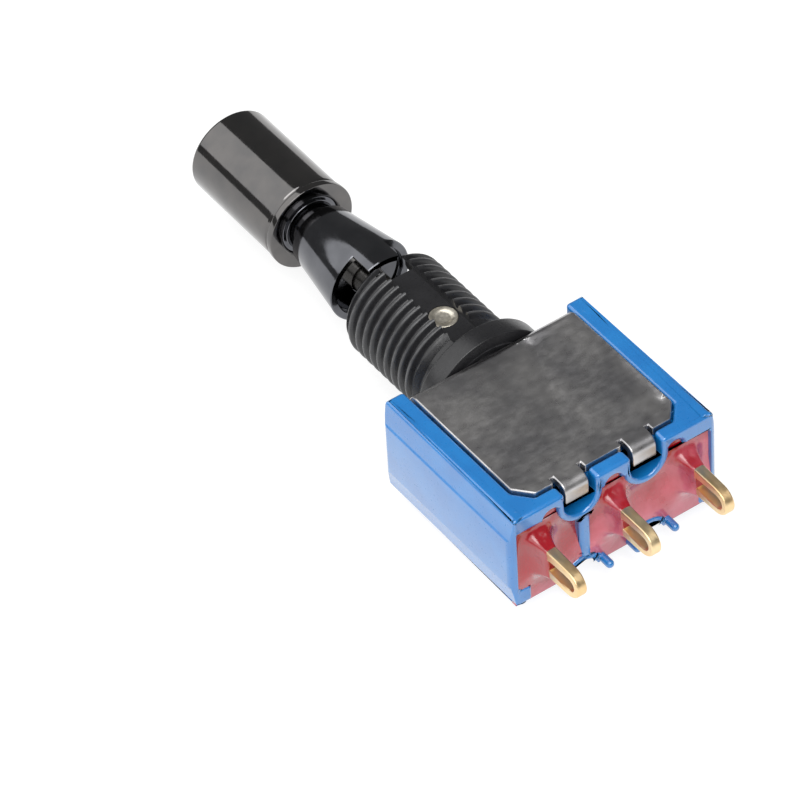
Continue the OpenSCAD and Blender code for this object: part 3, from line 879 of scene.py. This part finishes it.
# %% [markdown]
# ## Poured resin
#
# Resin climbs the walls and the terminals before it sets. Its surface could be sculpted, but a
# height worked out from distances gives the same creep everywhere: each wall and terminal adds
# a rise that fades with distance.

# %% Poured resin
RESIN_LEVEL, SILL_LEVEL, RESIN_REACH, SLOPE_TOP = -11.3, -11.76, -13.1, 0.3
MOUTH_X, MOUTH_Z, SILL_Z = 6.18, 1.98, 3.06
POCKET_X, POCKET_Z, WALL_OUTSIDE, WALL_MIDDLE = 2.1, 2.13, 1.405, 1.2
WALL_RISE, WALL_FADE, LUG_RISE, LUG_FADE = 0.25, 0.3, 1.5, 0.36
LUG_PITCH, LUG_HALF = 4.7, (0.3, 0.85)


def pocket_distance(x, z, radius):
    """Distance from this radius round the nearest pocket or arch, negative inside it. Past its
    centre a pocket's wall is straight, so only the height up to the centre counts."""
    above, below = np.minimum(z - POCKET_Z, 0), np.maximum(z - ARCH_Z, 0)
    return np.hypot(np.abs(x) - POCKET_X, np.where(z > 0, above, below)) - radius


def lug_distance(x, z):
    """Distance from the nearest terminal, which is a rectangle in this view."""
    dx = np.abs((x + LUG_PITCH / 2) % LUG_PITCH - LUG_PITCH / 2) - LUG_HALF[0]
    dz = np.abs(z) - LUG_HALF[1]
    return np.hypot(np.maximum(dx, 0), np.maximum(dz, 0))


def resin_surface():
    """Height over the opening: a level that slopes from RESIN_LEVEL to SILL_LEVEL as z falls
    from SLOPE_TOP to the sill, plus a rise times exp(-d / fade), once for the distance d to a
    wall and once for the distance to a terminal. The grid runs on into the walls, and stops at
    the middle of each pocket's wall."""
    x, z = np.meshgrid(np.linspace(-MOUTH_X - 0.15, MOUTH_X + 0.15, 193),
                       np.linspace(-SILL_Z, MOUTH_Z + 0.56, 85), indexing="ij")
    sides = np.minimum(MOUTH_X - np.abs(x), MOUTH_Z - z)
    wall = np.clip(np.minimum(sides, pocket_distance(x, z, WALL_OUTSIDE)), 0, None)
    slope = np.clip((SLOPE_TOP - z) / (SLOPE_TOP + MOUTH_Z), 0, 1)
    level = RESIN_LEVEL + (SILL_LEVEL - RESIN_LEVEL) * slope * slope * (3 - 2 * slope)
    rise = (WALL_RISE * np.exp(-wall / WALL_FADE) * (1 - slope)
            + LUG_RISE * np.exp(-lug_distance(x, z) / LUG_FADE))
    points = np.stack([x, np.maximum(level - rise, RESIN_REACH), z], axis=-1)
    inside_wall = pocket_distance(x, z, WALL_MIDDLE).reshape(-1) > 0
    faces = grid_faces(*x.shape)
    return points, faces[inside_wall[faces].all(axis=1)]


resin = skin("poured_resin", *resin_surface(), degrees=60)
thick = resin.modifiers.new("depth", "SOLIDIFY")
thick.thickness, thick.offset = 0.35 * MM, -1
dress(resin, "housing", "red_resin", "potting_seal")

# %% [markdown]
# ## Threaded bushing
#
# A thread is a helix, so its grid follows the helix too: each column starts a little further
# along the pitch than the last, and after one turn it meets the first column one pitch on.
# That keeps every crest on a row of points, which a straight grid would not.

# %% Threaded bushing
PITCH, THREAD_DEPTH, ROWS_PER_PITCH, COLUMNS = 0.635, 0.375, 12, 144
CREST_SHARE, FLANK_SHARE, RIM_CHAMFER = 0.0625, 0.375, 0.15
RELIEF_RADIUS, RELIEF_TOP, UNDERCUT_RADIUS, UNDERCUT = 2.8, 1.1, 3.295, -0.12
SHOULDER_BACK, TAIL_RADIUS, TAIL_BACK, BOX_MARGIN = -1.15, 2.85, -1.7, 0.001
BORE, FLARE, SEAL_GROOVE, RIM_BORE = 1.88, (2.396, 0.626), (2.073, 3.778, 4.438), (2.061, 5.4, 6.0)
bushing_high = np.array(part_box("bushing")[1]) / MM
RIM, SHOULDER_RADIUS = bushing_high[1], bushing_high[2] - BOX_MARGIN
turn_angles = np.arange(COLUMNS + 1) * TAU / COLUMNS


def thread_points():
    """A grid along the helix: y is the row's share of a pitch plus the column's share of a turn,
    held between the relief and the rim. The radius is the crest's less a depth, which is 0 at
    the crest, full at the root and straight between them with soft corners, and it never stands
    above a 45 degree chamfer at either end."""
    rows = int(np.ceil((RIM - RELIEF_TOP) / PITCH) + 1) * ROWS_PER_PITCH
    row = np.arange(-ROWS_PER_PITCH, rows)[:, None] / ROWS_PER_PITCH
    along = RELIEF_TOP + (row + turn_angles / TAU) * PITCH
    from_crest = np.abs((row + 0.5) % 1 - 0.5) + 0 * along
    slope = np.clip((from_crest - CREST_SHARE) / FLANK_SHARE, 0, 1)
    depth = THREAD_DEPTH * (slope - np.sin(TAU * slope) / TAU * 0.5)
    y = np.clip(along, RELIEF_TOP, RIM)
    chamfer = RELIEF_RADIUS + np.minimum(y - RELIEF_TOP, RIM - y)
    radius = np.minimum(thread_radius - depth, chamfer)
    return np.stack([radius * np.cos(turn_angles), y, radius * np.sin(turn_angles)], axis=-1)


def bushing_body():
    """The rest of the bushing is turned: relief, shoulder, tail, flare, bore and mouth. The
    flare, the seal's groove and the rim's bore each hold a radius, then places along Y."""
    outside = soften([(RELIEF_RADIUS, RELIEF_TOP), (RELIEF_RADIUS, UNDERCUT),
                      (UNDERCUT_RADIUS, UNDERCUT), (UNDERCUT_RADIUS, 0), (SHOULDER_RADIUS, 0),
                      (SHOULDER_RADIUS, SHOULDER_BACK), (TAIL_RADIUS, SHOULDER_BACK)], 0.07)
    groove, groove_back, groove_front = SEAL_GROOVE
    mouth, mouth_back, mouth_front = RIM_BORE
    inside = [(TAIL_RADIUS, TAIL_BACK), (FLARE[0], TAIL_BACK), (BORE, FLARE[1]),
              (BORE, groove_back), (groove, groove_back), (groove, groove_front),
              (BORE, groove_front), (BORE, mouth_back), (mouth, mouth_front),
              (mouth, RIM - RIM_CHAMFER), (mouth + RIM_CHAMFER, RIM), (RELIEF_RADIUS, RIM)]
    return lathe_points(np.vstack([outside, inside]), turn_angles)


thread, turned = thread_points(), bushing_body()
faces = np.vstack([grid_faces(len(thread), COLUMNS + 1),
                   grid_faces(len(turned), COLUMNS + 1, first=thread.shape[0] * thread.shape[1])])
bushing = skin("threaded_bushing", np.vstack([thread.reshape(-1, 3), turned.reshape(-1, 3)]), faces,
               degrees=50)

# %% Keyway, rim slots and pin hole
PIN_RADIUS, PIN_GAP, PIN_END, PIVOT_Y = 0.8, 0.02, -2.75, 2.88
KEYWAY_HALF, KEYWAY_FLOOR = 0.825, 2.515
SLOT_HALF, SLOT_DEPTH, SLOT_REACH = 1.075, 1.0, 2.65
keyway = box_cutter("keyway", (-KEYWAY_HALF, 0.0, KEYWAY_FLOOR), (KEYWAY_HALF, RIM + 1, 4.5))
rim_slots = box_cutter("rim_slots", (-SLOT_HALF, RIM - SLOT_DEPTH, -SLOT_REACH),
                       (SLOT_HALF, RIM + 1, SLOT_REACH))
pin_hole = turned_piece("pin_hole", bar_profile(PIN_RADIUS + PIN_GAP, PIN_END - PIN_GAP, 4.0), 48,
                        (0, PIVOT_Y, 0), upright=True)
carve(bushing, keyway, rim_slots, pin_hole)
shade(bushing.data, 40)
dress(bushing, "housing", "bushing_black", "bushing")

# %% [markdown]
# ## Pivot pin
#
# The pin is driven flush with the keyway's floor, and its end is cupped by the staking tool.

# %% Pivot pin
cup = soften([(0, KEYWAY_FLOOR - 0.12), (0.42, KEYWAY_FLOOR - 0.1), (0.58, KEYWAY_FLOOR - 0.02),
              (PIN_RADIUS, KEYWAY_FLOOR), (PIN_RADIUS, PIN_END), (0, PIN_END)], 0.06, 6)
pin = turned_piece("pivot_pin_end", cup, 64, (0, PIVOT_Y, 0), upright=True)
dress(pin, "housing", "pin_steel", "pivot_pin")

# %% [markdown]
# ## Locking sleeve
#
# The sleeve is turned, with a flared skirt and two teeth that reach for the bushing's rim. A flat
# face just inside the skirt's edge keeps its hollow shallow. The profile is turned as usual, but
# the skirt's lower edge drops wherever a tooth is, and columns stand exactly at the teeth's
# sides.

# %% Locking sleeve
SKIRT_RADIUS, SKIRT_WALL_RADIUS, SKIRT_Y, NECK_RADIUS, NECK_Y = 2.55, 2.13, 9.65, 1.85, 14.2
WAIST_RADIUS, TUBE_Y, TUBE_RADIUS, TUBE_TOP = 1.5, 15.17, 1.8, 21.6
CHAMBER_RADIUS, CHAMBER_Y, SLIDE_RADIUS, TOOTH_HALF, HOLLOW_DEPTH = 1.4, 17.4, 0.9, 0.975, 0.35
tooth_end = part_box("locking_sleeve")[0][1] / MM


def sleeve_angles():
    """Even columns, plus two at each side of a tooth: one on the tooth and one just off it."""
    half = math.asin(TOOTH_HALF / SKIRT_RADIUS)
    sides = [middle + side * (half + step) for middle in (math.pi / 2, 3 * math.pi / 2)
             for side in (-1, 1) for step in (0, 1e-4)]
    even = np.arange(128) * TAU / 128
    apart = np.abs(even[:, None] - np.array(sides)).min(axis=1) > 0.012
    return np.sort(np.concatenate([even[apart], sides])), half


def sleeve_points():
    """The turned profile, whose lower edge reaches down to the tooth's end where the angle is
    within the tooth's half width of the top or the bottom."""
    angles, half = sleeve_angles()
    outer = soften([(SKIRT_RADIUS, SKIRT_Y + 0.1), (NECK_RADIUS, NECK_Y), (WAIST_RADIUS, NECK_Y),
                    (WAIST_RADIUS, TUBE_Y), (TUBE_RADIUS, TUBE_Y), (TUBE_RADIUS, TUBE_TOP),
                    (CHAMBER_RADIUS, TUBE_TOP), (CHAMBER_RADIUS, CHAMBER_Y),
                    (SLIDE_RADIUS, CHAMBER_Y), (SLIDE_RADIUS, SKIRT_Y + HOLLOW_DEPTH),
                    (SKIRT_WALL_RADIUS, SKIRT_Y + HOLLOW_DEPTH),
                    (SKIRT_WALL_RADIUS, SKIRT_Y + 0.1)], 0.08)
    lip = np.array([(SKIRT_WALL_RADIUS, SKIRT_Y + 0.05), (SKIRT_WALL_RADIUS + 0.04, SKIRT_Y),
                    (SKIRT_RADIUS - 0.05, SKIRT_Y), (SKIRT_RADIUS, SKIRT_Y + 0.05), outer[0]])
    points = lathe_points(np.vstack([outer, lip]), angles)
    off = np.abs((angles % math.pi) - math.pi / 2)
    drop = np.where(off <= half + 1e-6, SKIRT_Y - tooth_end, 0.0)
    points[len(outer):len(outer) + 4, :, 1] -= drop
    return points


sleeve_grid = sleeve_points()
sleeve = skin("toothed_sleeve", sleeve_grid,
              grid_faces(len(sleeve_grid), sleeve_grid.shape[1], close_cols=True), degrees=40)
dress(sleeve, "lock", "sleeve_black", "locking_sleeve")

# %% [markdown]
# ## Cap
#
# The cap is a plain turned cylinder with a small lip at its foot. The bore and the roof inside
# close it.

# %% Cap
cap_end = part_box("lever_cap")[1][1] / MM
CAP_RADIUS, LIP_RADIUS, BORE_RADIUS = 2.6, 2.665, TUBE_RADIUS + 0.02
CAP_FOOT, CAP_EDGE, CAP_ROOF, GROOVE_DEPTH = 15.04, 0.2, 0.8, 0.07


def cap_profile():
    """Bore mouth, lip, groove, straight side, rounded top edge and flat end, then back down the
    inside of the bore."""
    foot, top, roof = CAP_FOOT, cap_end, cap_end - CAP_ROOF
    quarter = np.linspace(0, math.pi / 2, 9)
    lip = soften([(BORE_RADIUS, foot + 0.2), (BORE_RADIUS, foot + 0.1), (BORE_RADIUS + 0.1, foot),
                  (LIP_RADIUS, foot), (LIP_RADIUS, foot + 0.38),
                  (CAP_RADIUS - GROOVE_DEPTH, foot + 0.43),
                  (CAP_RADIUS - GROOVE_DEPTH, foot + 0.54), (CAP_RADIUS, foot + 0.62),
                  (CAP_RADIUS, foot + 1.0)], 0.05)
    edge = np.stack([CAP_RADIUS - CAP_EDGE * (1 - np.cos(quarter)),
                     top - CAP_EDGE * (1 - np.sin(quarter))], axis=-1)
    closing = [(0, top), (0, roof), (BORE_RADIUS, roof), (BORE_RADIUS, foot + 0.2)]
    return np.vstack([lip, edge, closing])


cap = turned_piece("turned_cap", cap_profile(), 144, degrees=40)
dress(cap, "lock", "cap_black", "lever_cap")

# %% [markdown]
# ## Terminals
#
# Each terminal is stamped from brass and gold plated, with a slotted round tip. The stamping
# leaves one rounded and one sheared edge, which a small bevel on a copy stands for. The blades
# are slimmer than the working ones, so what stands clear of the resin is drawn in towards its
# own middle line.

# %% Terminals
BLADE_THIN, BLADE_NARROW, BLADE_TOP, BLADE_ROUNDING = 0.75, 0.85, -10.95, 0.09
for middle, side in ((-LUG_PITCH, "left"), (0, "centre"), (LUG_PITCH, "right")):
    lug = copy_of(f"terminal_{side}", f"gold_terminal_{side}")
    for point in lug.data.vertices:
        if point.co.y < BLADE_TOP * MM:
            point.co.x = middle * MM + (point.co.x - middle * MM) * BLADE_THIN
            point.co.z *= BLADE_NARROW
    round_off(lug, BLADE_ROUNDING, segments=3)
    dress(lug, "housing", "terminal_gold", f"terminal_{side}")

# %% [markdown]
# ## Inner pieces
#
# What sits inside keeps its CAD mesh. It only gets its finish, which shows when the switch is
# taken apart or cut open.

# %% Inner pieces
INNER_FINISH = {"terminal_base": "base_plastic", "bore_seal": "seal_rubber",
                "lever_rod": "rod_metal", "plunger": "plunger_plastic",
                "plunger_spring": "spring_steel", "lock_spring": "spring_steel",
                "rocker_contact": "contact_metal", "rocker_button_left": "contact_silver",
                "rocker_button_right": "contact_silver", "contact_left": "contact_silver",
                "contact_right": "contact_silver", "spring_retainer": "retainer_metal"}
for node, slot in INNER_FINISH.items():
    nodes[node].data.materials.clear()
    nodes[node].data.materials.append(finishes[slot])
print("inner pieces:", len(INNER_FINISH))
